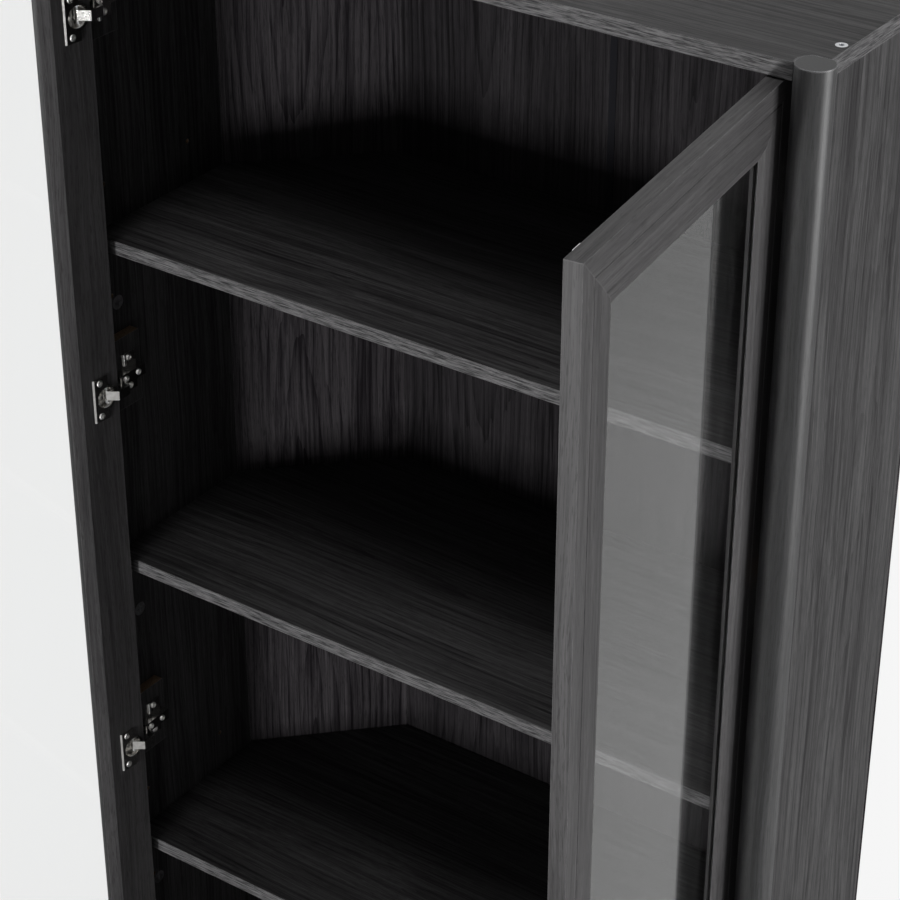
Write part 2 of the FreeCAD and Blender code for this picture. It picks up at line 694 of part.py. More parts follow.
def build_doors():
    """Write the pieces of both doors where they stand open."""
    dowels = mitre_dowels()
    low_hinge, high_hinge, low_free, high_free = [corner for corner, _, _ in door_corners()]
    hinge_stile = frame_member(low_hinge, RIGHT, UP, DOOR_H)
    free_stile = frame_member(low_free, -RIGHT, UP, DOOR_H)
    top_rail = frame_member(high_hinge, -UP, RIGHT, DOOR_W)
    bottom_rail = frame_member(low_hinge, UP, RIGHT, DOOR_W)
    save_pair("hinge_stile", swung([hinge_stile.cut(dowels + cup_bores() + cup_screws())]))
    save_pair("free_stile", swung([free_stile.cut(dowels + [knob_screw()])]))
    save_pair("top_rail", swung([top_rail.cut(dowels)]))
    save_pair("bottom_rail", swung([bottom_rail.cut(dowels)]))
    save_pair("mitre_dowels", swung(dowels))
    save_pair("glass", swung([glass_pane()]))
    save_pair("glazing_tape", swung(glazing_tape()))
    save_pair("hinge_cups", swung(hinge_cups()))
    save_pair("hinge_pins", swung(hinge_pins()))
    save_pair("cup_screws", swung(cup_screws()))
    save_pair("strike", swung([strike_plate()]))
    save_pair("knob", swung([knob()]))
    save_pair("knob_screw", swung([knob_screw()]))


os.makedirs("parts", exist_ok=True)
build_carcass()
build_hinges()
build_doors()
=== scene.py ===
"""Looks of a charcoal bookcase with glass doors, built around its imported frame."""
import json
import logging
import math
from abc import ABC, abstractmethod
from dataclasses import dataclass, replace
from enum import Enum

import bmesh
import bpy
from mathutils import Euler, Matrix, Vector


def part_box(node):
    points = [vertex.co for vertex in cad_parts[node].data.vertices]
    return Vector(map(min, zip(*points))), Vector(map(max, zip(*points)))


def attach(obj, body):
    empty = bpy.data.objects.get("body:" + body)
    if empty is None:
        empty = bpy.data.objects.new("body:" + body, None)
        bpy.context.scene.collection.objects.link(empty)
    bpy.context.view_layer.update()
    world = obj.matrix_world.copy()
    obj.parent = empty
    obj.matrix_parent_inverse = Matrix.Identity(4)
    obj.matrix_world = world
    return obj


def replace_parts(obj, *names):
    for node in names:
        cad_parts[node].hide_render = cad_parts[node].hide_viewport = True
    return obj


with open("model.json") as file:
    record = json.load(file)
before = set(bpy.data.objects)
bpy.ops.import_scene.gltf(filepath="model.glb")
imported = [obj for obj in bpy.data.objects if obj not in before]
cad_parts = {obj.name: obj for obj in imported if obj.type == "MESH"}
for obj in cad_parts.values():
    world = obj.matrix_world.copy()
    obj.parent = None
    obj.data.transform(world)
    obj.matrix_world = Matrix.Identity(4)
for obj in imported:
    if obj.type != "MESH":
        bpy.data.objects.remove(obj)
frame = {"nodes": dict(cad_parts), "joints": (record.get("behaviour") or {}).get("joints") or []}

LOG = logging.getLogger("bookcase")
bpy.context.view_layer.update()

Colour = tuple[float, float, float]
Point = tuple[float, float, float]
Limits = tuple[float, float]
Node = bpy.types.Node
Socket = bpy.types.NodeSocket
Tree = bpy.types.NodeTree
Material = bpy.types.Material
Mesh = bpy.types.Mesh
Thing = bpy.types.Object
Shape = bmesh.types.BMesh

UP: Point = (0.0, 0.0, 1.0)
WHITE = (1.0, 1.0, 1.0, 1.0)
DIAGONAL = math.sqrt(0.5)
NOISE_MIDDLE = 0.5
SEAM = 0.00001
SHARP_ANGLE = math.radians(32)

# The doors' joints, and the way that an open door's outer face looks: to its own side and a little back
DOOR_JOINTS = {joint["child"]: joint for joint in frame["joints"]}
OPEN_ANGLE = math.radians(DOOR_JOINTS["left_door"]["range_deg"][1])
OUTWARD = math.sin(OPEN_ANGLE)
BACKWARD = -math.cos(OPEN_ANGLE)


class Side(Enum):
    """The half of the bookcase that a piece belongs to, with the sign of its X."""

    LEFT = -1
    RIGHT = 1

    @property
    def word(self) -> str:
        """Return the word that starts this half's node names."""
        return self.name.lower()


class GrainRun(Enum):
    """The way that the grain runs on a piece, then the way that its broad face looks."""

    UP_THE_BACK = (UP, (0.0, 1.0, 0.0))
    UP_THE_SIDE = (UP, (1.0, 0.0, 0.0))
    UP_THE_LEFT_CORNER = (UP, (-DIAGONAL, DIAGONAL, 0.0))
    UP_THE_RIGHT_CORNER = (UP, (DIAGONAL, DIAGONAL, 0.0))
    FLAT_ACROSS = ((1.0, 0.0, 0.0), UP)
    ALONG_THE_KICK = ((1.0, 0.0, 0.0), (0.0, 1.0, 0.0))
    LEFT_RAIL = ((-BACKWARD, -OUTWARD, 0.0), (-OUTWARD, BACKWARD, 0.0))
    RIGHT_RAIL = ((BACKWARD, -OUTWARD, 0.0), (OUTWARD, BACKWARD, 0.0))

    def turn(self) -> Euler:
        """Return the turn that sets the grain along Z and the broad face towards Y."""
        grain, face = (Vector(part) for part in self.value)
        return Matrix((face.cross(grain), face, grain)).to_euler()


@dataclass(frozen=True)
class Noise:
    """A noise texture: how it is packed along each axis, its finer layers and the share of each."""

    stretch: Point
    detail: float
    roughness: float = 0.55


@dataclass(frozen=True)
class Canvas:
    """The node tree of a material, a world or a group, with short calls that add nodes and join them."""

    tree: Tree

    def add(self, kind: str, *inputs: object, **settings: object) -> Node:
        """Add a node.

        Args:
            kind: Blender's type name of the node.
            inputs: what feeds its first inputs, in order.
            settings: properties of the node to set.

        Returns:
            The new node.
        """
        node = self.tree.nodes.new(kind)
        for name, value in settings.items():
            setattr(node, name, value)
        for socket, value in zip(node.inputs, inputs):
            self.feed(socket, value)
        return node

    def feed(self, socket: Socket, value: object) -> None:
        """Join a socket to an output, or set its own value.

        Args:
            socket: the input to feed.
            value: an output socket or a plain value.
        """
        if isinstance(value, Socket):
            self.tree.links.new(value, socket)
        else:
            socket.default_value = value

    def value(self, operation: str, first: object, second: object = 0.0) -> Socket:
        """Return the result of an operation on two values, each an output or a number."""
        return self.add("ShaderNodeMath", first, second, operation=operation).outputs[0]

    def vector(self, operation: str, first: object, second: object) -> Socket:
        """Return the result of an operation on two vectors, a number for a dot product."""
        node = self.add("ShaderNodeVectorMath", first, second, operation=operation)
        return node.outputs["Value" if operation == "DOT_PRODUCT" else "Vector"]

    def span(self, value: object, low: object, high: object) -> Socket:
        """Return a value stretched so that low becomes 0 and high becomes 1, and held between them."""
        return self.add("ShaderNodeMapRange", value, low, high, clamp=True).outputs["Result"]

    def blend(self, factor: object, first: object, second: object) -> Socket:
        """Mix two colours.

        Args:
            factor: an output or a number, 0 for the first colour.
            first: an output or a colour.
            second: an output or a colour.

        Returns:
            The output that holds the mixed colour.
        """
        node = self.add("ShaderNodeMix", data_type="RGBA")
        sockets = {socket.identifier: socket for socket in (*node.inputs, *node.outputs)}
        self.feed(sockets["Factor_Float"], factor)
        self.feed(sockets["A_Color"], opaque(first))
        self.feed(sockets["B_Color"], opaque(second))
        return sockets["Result_Color"]

    def noise(self, place: object, noise: Noise, output: str = "Fac") -> Socket:
        """Add a noise texture.

        Args:
            place: the output that holds the place on the surface.
            noise: its stretch and its fineness, in numbers or outputs.
            output: the name of the output to use.

        Returns:
            That output.
        """
        node = self.add("ShaderNodeTexNoise")
        self.feed(node.inputs["Vector"], self.vector("MULTIPLY", place, noise.stretch))
        node.inputs["Scale"].default_value = 1.0
        self.feed(node.inputs["Detail"], noise.detail)
        self.feed(node.inputs["Roughness"], noise.roughness)
        return node.outputs[output]

    def group(self, tree: Tree, **inputs: object) -> Node:
        """Place a node group.

        Args:
            tree: the group.
            inputs: what feeds each of its inputs.

        Returns:
            The group node.
        """
        node = self.add("ShaderNodeGroup", node_tree=tree)
        for name, value in inputs.items():
            self.feed(node.inputs[name], value)
        return node

    def specks(self, place: object, noise: Noise, limits: Limits = (0.0, 1.0)) -> Socket:
        """Return the tone of the shared specks, with the limits that become 0 and 1."""
        return self.group(SPECKS, Place=place, Stretch=noise.stretch, Detail=noise.detail,
                          Roughness=noise.roughness, Low=limits[0], High=limits[1]).outputs["Tone"]


def opaque(colour: object) -> object:
    """Return a plain colour with full alpha, and anything else as it is."""
    return (*colour, 1.0) if isinstance(colour, tuple) and len(colour) == 3 else colour


def scaled(colour: Colour, share: float) -> Colour:
    """Return a colour times a share."""
    return tuple(share * part for part in colour)


def new_group(name: str, vectors: tuple, numbers: tuple, results: tuple) -> tuple[Canvas, object, object]:
    """Start a shader node group.

    Args:
        name: the group's name.
        vectors: the names of the vectors that it takes.
        numbers: the names of the numbers that it takes.
        results: the names of the numbers that it puts out.

    Returns:
        The canvas of the group, what it is given, and the sockets that take its results.
    """
    tree = bpy.data.node_groups.new(name, "ShaderNodeTree")
    for label in vectors:
        tree.interface.new_socket(label, in_out="INPUT", socket_type="NodeSocketVector")
    for label in numbers:
        tree.interface.new_socket(label, in_out="INPUT", socket_type="NodeSocketFloat")
    for label in results:
        tree.interface.new_socket(label, in_out="OUTPUT", socket_type="NodeSocketFloat")
    canvas = Canvas(tree)
    return canvas, canvas.add("NodeGroupInput").outputs, canvas.add("NodeGroupOutput").inputs


@dataclass(frozen=True)
class WoodGrain:
    """The grain of printed wood along Z: arched figure, bands, streaks and pores."""

    seed_stride: Point = (0.731, 1.173, 2.917)
    sway: Noise = Noise((7.0, 7.0, 2.2), 2.0)
    sway_reach: Point = (0.022, 0.022, 0.0)
    bands: Noise = Noise((34.0, 34.0, 1.3), 3.0)
    streaks: Noise = Noise((300.0, 300.0, 3.2), 4.0, 0.7)
    fibre: Noise = Noise((1000.0, 1000.0, 60.0), 3.0, 0.6)
    arch_width: float = 0.085
    arch_length: float = 1.1
    arch_slope: float = 0.05
    ring_wander: float = 0.018
    rings_per_metre: float = 150.0
    late_wood: float = 3.0
    arch_share: float = 0.22
    band_share: float = 0.27
    streak_relief: float = 0.6
    pore_limits: Limits = (0.47, 0.37)

    def build(self) -> Tree:
        """Build the group.

        Returns:
            The group, which puts out the tone, the pores and the height of the print.
        """
        canvas, given, result = new_group("wood_grain", ("Place",), ("Seed", "Figure"),
                                          ("Tone", "Pores", "Height"))
        shifts = [canvas.value("MULTIPLY", given["Seed"], stride) for stride in self.seed_stride]
        shift = canvas.add("ShaderNodeCombineXYZ", *shifts)
        placed = canvas.vector("ADD", given["Place"], shift.outputs[0])
        lean = canvas.vector("SUBTRACT", canvas.noise(placed, self.sway, "Color"), 3 * (NOISE_MIDDLE,))
        swayed = canvas.vector("ADD", placed, canvas.vector("MULTIPLY", lean, self.sway_reach))
        bands = canvas.noise(swayed, self.bands)
        streaks = canvas.noise(swayed, self.streaks)
        fibre = canvas.noise(swayed, self.fibre)
        arched = canvas.value("MULTIPLY", self._late_wood(canvas, swayed, bands), given["Figure"])
        soft = canvas.value("ADD", canvas.value("MULTIPLY", bands, self.band_share),
                            canvas.value("MULTIPLY", streaks, 1.0 - self.band_share))
        height = canvas.value("ADD", canvas.value("MULTIPLY", streaks, self.streak_relief),
                              canvas.value("MULTIPLY", fibre, 1.0 - self.streak_relief))
        shade = canvas.value("MULTIPLY", arched, self.arch_share)
        canvas.feed(result["Tone"], canvas.value("SUBTRACT", soft, shade))
        canvas.feed(result["Pores"], canvas.span(fibre, *self.pore_limits))
        canvas.feed(result["Height"], height)
        return canvas.tree

    def _late_wood(self, canvas: Canvas, place: Socket, bands: Socket) -> Socket:
        """Draw the dark late wood of the year rings, which stand in tall arches.

        Args:
            canvas: the group's canvas.
            place: the swayed place in the print.
            bands: the bands that make the rings wander.

        Returns:
            The output that is 1 at the dark edge of each ring.
        """
        split = canvas.add("ShaderNodeSeparateXYZ", place)
        across = canvas.value("PINGPONG", split.outputs["X"], self.arch_width)
        rise = canvas.value("PINGPONG", split.outputs["Z"], self.arch_length)
        climb = canvas.value("MULTIPLY", rise, self.arch_slope)
        squared = canvas.value("ADD", canvas.value("MULTIPLY", across, across),
                               canvas.value("MULTIPLY", climb, climb))
        wander = canvas.value("MULTIPLY", bands, self.ring_wander)
        ring = canvas.value("ADD", canvas.value("SQRT", squared), wander)
        age = canvas.value("FRACT", canvas.value("MULTIPLY", ring, self.rings_per_metre))
        return canvas.value("POWER", age, self.late_wood)


@dataclass(frozen=True)
class ArrisWear:
    """A mask of the edges, broken up as handling leaves them, where a lighter colour stands partly for real
    wear and partly for a painted highlight along the arris.
    """

    bevel_samples: int = 4
    bent: Limits = (0.985, 0.90)
    patches: Noise = Noise((60.0, 60.0, 60.0), 3.0)
    patch_limits: Limits = (0.2, 0.6)

    def build(self) -> Tree:
        """Build the group.

        Returns:
            The group, which puts out the mask.
        """
        canvas, given, result = new_group("arris_wear", ("Place",), ("Reach",), ("Mask",))
        rounded = canvas.add("ShaderNodeBevel", given["Reach"], samples=self.bevel_samples)
        true = canvas.add("ShaderNodeNewGeometry")
        facing = canvas.vector("DOT_PRODUCT", rounded.outputs["Normal"], true.outputs["Normal"])
        patchy = canvas.span(canvas.noise(given["Place"], self.patches), *self.patch_limits)
        canvas.feed(result["Mask"], canvas.value("MULTIPLY", canvas.span(facing, *self.bent), patchy))
        return canvas.tree


@dataclass(frozen=True)
class HandlingClouds:
    """The faint clouding that wiping leaves on a smooth surface."""

    clouds: Noise = Noise((9.0, 9.0, 6.0), 5.0, 0.6)

    def build(self) -> Tree:
        """Build the group.

        Returns:
            The group, which puts out the roughness.
        """
        canvas, given, result = new_group("handling_clouds", ("Place",), ("Base", "Spread"), ("Roughness",))
        clouds = canvas.value("SUBTRACT", canvas.noise(given["Place"], self.clouds), NOISE_MIDDLE)
        swing = canvas.value("MULTIPLY", clouds, given["Spread"])
        canvas.feed(result["Roughness"], canvas.value("ADD", given["Base"], swing))
        return canvas.tree


@dataclass(frozen=True)
class PlatedBrushing:
    """The fine drawn lines and dull patches of plated metal."""

    lines: Noise = Noise((900.0, 900.0, 5200.0), 2.0)
    dull: Noise = Noise((210.0, 210.0, 210.0), 4.0)
    dull_limits: Limits = (0.35, 0.75)

    def build(self) -> Tree:
        """Build the group.

        Returns:
            The group, which puts out the lines and the dull patches.
        """
        canvas, given, result = new_group("plated_brushing", ("Place",), (), ("Lines", "Dull"))
        canvas.feed(result["Lines"], canvas.noise(given["Place"], self.lines))
        dull = canvas.noise(given["Place"], self.dull)
        canvas.feed(result["Dull"], canvas.span(dull, *self.dull_limits))
        return canvas.tree


def specks_group() -> Tree:
    """Build the specks, chips, grit or short lines that a stretched noise makes.

    Returns:
        The group, which puts out their tone.
    """
    canvas, given, result = new_group("specks", ("Place", "Stretch"), ("Detail", "Roughness", "Low", "High"),
                                      ("Tone",))
    noise = canvas.noise(given["Place"], Noise(given["Stretch"], given["Detail"], given["Roughness"]))
    canvas.feed(result["Tone"], canvas.span(noise, given["Low"], given["High"]))
    return canvas.tree


def level_group() -> Tree:
    """Build a mask of how level a face lies: 0 is upright, and 1 looks straight up or down.

    Returns:
        The group, which puts out the mask between two limits.
    """
    canvas, given, result = new_group("level_faces", ("Normal",), ("Low", "High"), ("Mask",))
    rise = canvas.value("ABSOLUTE", canvas.vector("DOT_PRODUCT", given["Normal"], UP))
    canvas.feed(result["Mask"], canvas.span(rise, given["Low"], given["High"]))
    return canvas.tree


GRAIN = WoodGrain().build()
ARRIS_WEAR_AND_HIGHLIGHT = ArrisWear().build()
HANDLING = HandlingClouds().build()
BRUSHING = PlatedBrushing().build()
SPECKS = specks_group()
LEVEL = level_group()


@dataclass(frozen=True)
class Coating:
    """A material in the making, with the sockets that its layers need."""

    material: Material
    canvas: Canvas
    surface: Node
    place: Socket

    def paint(self, colour: object) -> None:
        """Give the surface its colour, in place of any that it has."""
        self.canvas.feed(self.surface.inputs["Base Color"], colour)

    def cloud(self, roughness: float, spread: float) -> None:
        """Give the surface a mean roughness that the clouds of handling swing by a spread."""
        clouds = self.canvas.group(HANDLING, Place=self.place, Base=roughness, Spread=spread)
        self.canvas.feed(self.surface.inputs["Roughness"], clouds.outputs["Roughness"])

    def raise_by(self, height: Socket, depth: float) -> None:
        """Raise the surface in a fine relief.

        Args:
            height: the output that holds the height, 0 to 1.
            depth: the depth of the relief in metres.
        """
        node = self.canvas.add("ShaderNodeBump")
        node.inputs["Strength"].default_value = 1.0
        node.inputs["Distance"].default_value = depth
        self.canvas.feed(node.inputs["Height"], height)
        self.canvas.feed(self.surface.inputs["Normal"], node.outputs["Normal"])

    def level(self, limits: Limits) -> Socket:
        """Return a mask of how level each face lies, with the limits that become 0 and 1."""
        normal = self.canvas.add("ShaderNodeTexCoord").outputs["Normal"]
        return self.canvas.group(LEVEL, Normal=normal, Low=limits[0], High=limits[1]).outputs["Mask"]


def new_coating(name: str) -> Coating:
    """Start a material.

    Args:
        name: the material's name.

    Returns:
        The material with its canvas, its surface shader and the place on the piece.
    """
    material = bpy.data.materials.new(name)
    material.use_nodes = True
    canvas = Canvas(material.node_tree)
    place = canvas.add("ShaderNodeTexCoord").outputs["Object"]
    return Coating(material, canvas, material.node_tree.nodes["Principled BSDF"], place)


@dataclass(frozen=True)
class WoodCoating(Coating):
    """A wood finish, with the outputs that a further layer covers."""

    colour: Socket
    worn: Socket

    def cover(self, mask: Socket, colour: Socket) -> None:
        """Cover the wood with a colour where the mask is 1."""
        self.paint(self.canvas.blend(mask, self.colour, colour))


@dataclass(frozen=True)
class WoodFinish:
    """A dark printed wood grain on board, foil or hardboard."""

    name: str
    dark: Colour
    light: Colour
    roughness: float
    specular: float
    relief: float
    figure: float = 0.5
    # Painted highlight: the worn colour on the arris stands partly for real wear and partly for the highlight
    # that the edges catch.
    worn: Colour = (0.26, 0.255, 0.26)
    wear: float = 0.85
    wear_reach: float = 0.0012
    low_tone: float = 0.35
    high_tone: float = 0.64
    pore_strength: float = 0.45
    pore_shade: float = 0.35
    clouding: float = 0.16

    def coat(self, piece: str, run: GrainRun, seed: float) -> WoodCoating:
        """Make the material of one piece.

        Args:
            piece: the piece's name.
            run: the direction of its grain.
            seed: a number that sets its place in the print.

        Returns:
            The material, ready for further layers.
        """
        base = new_coating(f"{self.name}.{piece}")
        canvas = base.canvas
        turn = canvas.add("ShaderNodeMapping", base.place, vector_type="POINT")
        turn.inputs["Rotation"].default_value = run.turn()
        grain = canvas.group(GRAIN, Place=turn.outputs[0], Seed=seed, Figure=self.figure)
        tone = canvas.span(grain.outputs["Tone"], self.low_tone, self.high_tone)
        wood = canvas.blend(tone, self.dark, self.light)
        pores = canvas.value("MULTIPLY", grain.outputs["Pores"], self.pore_strength)
        pitted = canvas.blend(pores, wood, scaled(self.dark, self.pore_shade))
        # The lighter edges laid here are partly real wear and partly a painted highlight.
        arris = canvas.group(ARRIS_WEAR_AND_HIGHLIGHT, Place=base.place, Reach=self.wear_reach)
        worn = canvas.value("MULTIPLY", arris.outputs["Mask"], self.wear)
        colour = canvas.blend(worn, pitted, self.worn)
        base.paint(colour)
        base.cloud(self.roughness, self.clouding)
        base.surface.inputs["Specular IOR Level"].default_value = self.specular
        base.raise_by(grain.outputs["Height"], self.relief)
        return WoodCoating(base.material, canvas, base.surface, base.place, colour, worn)


@dataclass(frozen=True)
class EdgeBand:
    """The lighter band that is glued to the edges of a flat board."""

    dark: Colour = (0.014, 0.014, 0.015)
    light: Colour = (0.158, 0.155, 0.158)
    lines: Noise = Noise((48.0, 48.0, 760.0), 4.0, 0.7)
    line_limits: Limits = (0.36, 0.63)
    upright: Limits = (0.55, 0.25)

    def lay(self, board: WoodCoating) -> None:
        """Colour the upright faces of a flat board as its band."""
        tone = board.canvas.specks(board.place, self.lines, self.line_limits)
        board.cover(board.level(self.upright), board.canvas.blend(tone, self.dark, self.light))


@dataclass(frozen=True)
class PostEnd:
    """Painted shade: a darker colour on the ends of a post that look up or down, inside its worn and highlit
    rim.
    """

    dark: Colour = (0.005, 0.005, 0.006)
    light: Colour = (0.017, 0.017, 0.018)
    specks: Noise = Noise((420.0, 420.0, 420.0), 4.0, 0.7)
    speck_limits: Limits = (0.3, 0.7)
    flat: Limits = (0.9, 0.98)

    def lay(self, post: WoodCoating) -> None:
        """Colour the faces of a post that look up or down darker, as painted shade.

        Args:
            post: the post's finish.
        """
        canvas = post.canvas
        off_the_worn_highlit_rim = canvas.value("SUBTRACT", 1.0, post.worn)
        tone = canvas.specks(post.place, self.specks, self.speck_limits)
        # Painted shade: the dark specked colour laid on the level ends.
        paint = canvas.blend(tone, self.dark, self.light)
        post.cover(canvas.value("MULTIPLY", post.level(self.flat), off_the_worn_highlit_rim), paint)


@dataclass(frozen=True)
class RawBoard:
    """The brown chipboard that shows where a board is bored or sawn."""

    dark: Colour = (0.17, 0.105, 0.060)
    light: Colour = (0.48, 0.32, 0.20)
    chips: Noise = Noise((700.0, 700.0, 700.0), 4.0, 0.7)
    chip_limits: Limits = (0.3, 0.7)

    def lay(self, board: WoodCoating, mask: Socket) -> None:
        """Colour part of a board as raw chips, where the mask is 1."""
        tone = board.canvas.specks(board.place, self.chips, self.chip_limits)
        board.cover(mask, board.canvas.blend(tone, self.dark, self.light))


@dataclass(frozen=True)
class PlainFinish(ABC):
    """A finish that needs only the piece's name."""

    name: str

    @abstractmethod
    def apply(self, base: Coating) -> None:
        """Lay the finish on a material in the making."""

    def material(self, piece: str) -> Material:
        """Make the material of one piece.

        Args:
            piece: the piece's name.

        Returns:
            The material.
        """
        base = new_coating(f"{self.name}.{piece}")
        self.apply(base)
        return base.material


@dataclass(frozen=True)
class PlatedMetal(PlainFinish):
    """Bright plated steel with faint drawn lines."""

    bright: Colour
    dull: Colour
    roughness: float
    relief: float
    clouding: float = 0.12

    def apply(self, base: Coating) -> None:
        """Lay the plating.

        Args:
            base: the material in the making.
        """
        brushing = base.canvas.group(BRUSHING, Place=base.place)
        base.paint(base.canvas.blend(brushing.outputs["Dull"], self.bright, self.dull))
        base.cloud(self.roughness, self.clouding)
        base.surface.inputs["Metallic"].default_value = 1.0
        base.raise_by(brushing.outputs["Lines"], self.relief)


@dataclass(frozen=True)
class ClearGlass(PlainFinish):
    """Float glass with a faint green tint that drifts over the pane."""

    tint: Colour = (0.988, 0.994, 0.992)
    drift: float = 0.99
    streaks: Noise = Noise((4.0, 4.0, 2.5), 4.0)
    index: float = 1.4

    def apply(self, base: Coating) -> None:
        """Make the material clear.

        Args:
            base: the material in the making.
        """
        streaks = base.canvas.specks(base.place, self.streaks)
        base.paint(base.canvas.blend(streaks, self.tint, scaled(self.tint, self.drift)))
        base.surface.inputs["Roughness"].default_value = 0.0
        base.surface.inputs["Transmission Weight"].default_value = 1.0
        base.surface.inputs["IOR"].default_value = self.index


@dataclass(frozen=True)
class MattPlastic(PlainFinish):
    """Black moulded plastic with a fine spark-eroded texture."""

    colour: Colour
    roughness: float = 0.55
    specular: float = 0.4
    relief: float = 0.00006
    grit: Noise = Noise((1800.0, 1800.0, 1800.0), 3.0)
    paler: float = 1.6
    clouding: float = 0.1

    def apply(self, base: Coating) -> None:
        """Lay the plastic's grit.

        Args:
            base: the material in the making.
        """
        grit = base.canvas.specks(base.place, self.grit)
        base.paint(base.canvas.blend(grit, self.colour, scaled(self.colour, self.paler)))
        base.cloud(self.roughness, self.clouding)
        base.surface.inputs["Specular IOR Level"].default_value = self.specular
        base.raise_by(grit, self.relief)


LAMINATE = WoodFinish("charcoal_laminate", dark=(0.013, 0.012, 0.013), light=(0.083, 0.082, 0.083),
                      roughness=0.48, specular=0.15, relief=0.00010, figure=0.3)
HARDBOARD = WoodFinish("charcoal_back", dark=(0.0040, 0.0032, 0.0041), light=(0.037, 0.034, 0.037),
                       roughness=0.6, specular=0.08, relief=0.00008, wear=0.15)
# Painted light: the corner backs are the same hardboard in a lighter colour, which stands for the stronger
# light they catch.
CORNER_BOARD_PAINTED_LIGHTER = replace(HARDBOARD, name="charcoal_corner", dark=(0.0092, 0.0075, 0.0094),
                       light=(0.077, 0.071, 0.076))
FRAME_FOIL = WoodFinish("charcoal_frame", dark=(0.020, 0.019, 0.020), light=(0.095, 0.092, 0.094),
                        roughness=0.45, specular=0.22, relief=0.00008, figure=0.1,
                        low_tone=0.28, high_tone=0.70, worn=(0.20, 0.196, 0.20), wear=0.4)
# The post's pale worn rim is mostly a painted highlight along its top edge, over a little real wear.
POST_FOIL = WoodFinish("charcoal_post", dark=(0.018, 0.018, 0.019), light=(0.060, 0.060, 0.061),
                       roughness=0.42, specular=0.5, relief=0.00003, figure=0.1,
                       worn=(0.36, 0.36, 0.37), wear=0.9, wear_reach=0.0024)
BEECH = WoodFinish("beech", dark=(0.40, 0.26, 0.14), light=(0.70, 0.52, 0.33), roughness=0.6, specular=0.3,
                   relief=0.0001, figure=0.2, worn=(0.7, 0.55, 0.38))
NICKEL = PlatedMetal("nickel", bright=(0.80, 0.79, 0.77), dull=(0.60, 0.59, 0.57), roughness=0.17,
                     relief=0.00001)
ZINC = PlatedMetal("zinc_steel", bright=(0.76, 0.77, 0.79), dull=(0.52, 0.53, 0.55), roughness=0.27,
                   relief=0.00002)
SATIN_NICKEL = PlatedMetal("satin_nickel", bright=(0.84, 0.83, 0.82), dull=(0.62, 0.61, 0.60), roughness=0.28,
                           relief=0.00001)
CAM_ZINC = PlatedMetal("cam_zinc", bright=(0.30, 0.30, 0.31), dull=(0.18, 0.18, 0.19), roughness=0.4,
                       relief=0.00003)
BLACK_PLASTIC = MattPlastic("black_plastic", colour=(0.011, 0.011, 0.012))
STRIP_PLASTIC = MattPlastic("strip_plastic", colour=(0.009, 0.009, 0.011), roughness=0.7, specular=0.06)
GLASS = ClearGlass("clear_glass")


def dress(node: str, material: Material) -> Thing:
    """Give a CAD node its material.

    Args:
        node: the node's name.
        material: the material for all its faces.

    Returns:
        The node's object.
    """
    thing = frame["nodes"][node]
    for slot in thing.material_slots:
        slot.material = material
    LOG.info("dressed %s in %s", node, material.name)
    return thing


def clad(node: str, finish: PlainFinish) -> Thing:
    """Give a CAD node a metal, glass or plastic finish, and return its object."""
    return dress(node, finish.material(node))


def ease(thing: Thing, width: float, segments: int = 2) -> None:
    """Ease the sharp edges of an object.

    Args:
        thing: the object.
        width: the width of the eased edge in metres.
        segments: the number of steps across it.
    """
    weld = thing.modifiers.new("close_seams", "WELD")
    weld.merge_threshold = SEAM
    eased = thing.modifiers.new("eased_edges", "BEVEL")
    eased.width = width
    eased.segments = segments
    eased.limit_method = "ANGLE"
    eased.angle_limit = SHARP_ANGLE
    eased.use_clamp_overlap = True
    flat = thing.modifiers.new("flat_faces", "WEIGHTED_NORMAL")
    flat.keep_sharp = True


def new_piece(name: str, shape: Shape, finish: PlatedMetal, body: str, smooth: bool = True) -> Thing:
    """Make a metal piece that moves with a body.

    Args:
        name: the piece's name.
        shape: its mesh, which is freed.
        finish: its finish.
        body: the body that it rides on.
        smooth: whether its faces are shaded smooth.

    Returns:
        The new object.
    """
    bmesh.ops.recalc_face_normals(shape, faces=shape.faces)
    mesh = new_mesh(name, shape)
    mesh.materials.append(finish.material(name))
    for face in mesh.polygons:
        face.use_smooth = smooth
    thing = bpy.data.objects.new(name, mesh)
    bpy.context.scene.collection.objects.link(thing)
    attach(thing, body)
    LOG.info("built %s on %s", name, body)
    return thing


def lathe(shape: Shape, profile: list[tuple[float, float]], place: Matrix, steps: int) -> None:
    """Turn a profile round Z.

    Args:
        shape: the mesh to add to.
        profile: pairs of radius and height; the ends on the axis close the form.
        place: where the turned form goes.
        steps: the number of steps round the axis.
    """
    angles = [2 * math.pi * k / steps for k in range(steps)]
    rings = []
    for radius, height in profile:
        around = angles if radius else angles[:1]
        rings.append([shape.verts.new(place @ Vector((radius * math.cos(a), radius * math.sin(a), height)))
                      for a in around])
    for low, high in zip(rings, rings[1:]):
        for k in range(steps):
            after = (k + 1) % steps
            corners = [low[k % len(low)], low[after % len(low)], high[after % len(high)], high[k % len(high)]]
            shape.faces.new(list(dict.fromkeys(corners)))


def new_mesh(name: str, shape: Shape) -> Mesh:
    """Turn a working shape into a mesh.

    Args:
        name: the mesh's name.
        shape: the shape, which is freed.

    Returns:
        The mesh.
    """
    mesh = bpy.data.meshes.new(name)
    shape.to_mesh(mesh)
    shape.free()
    return mesh


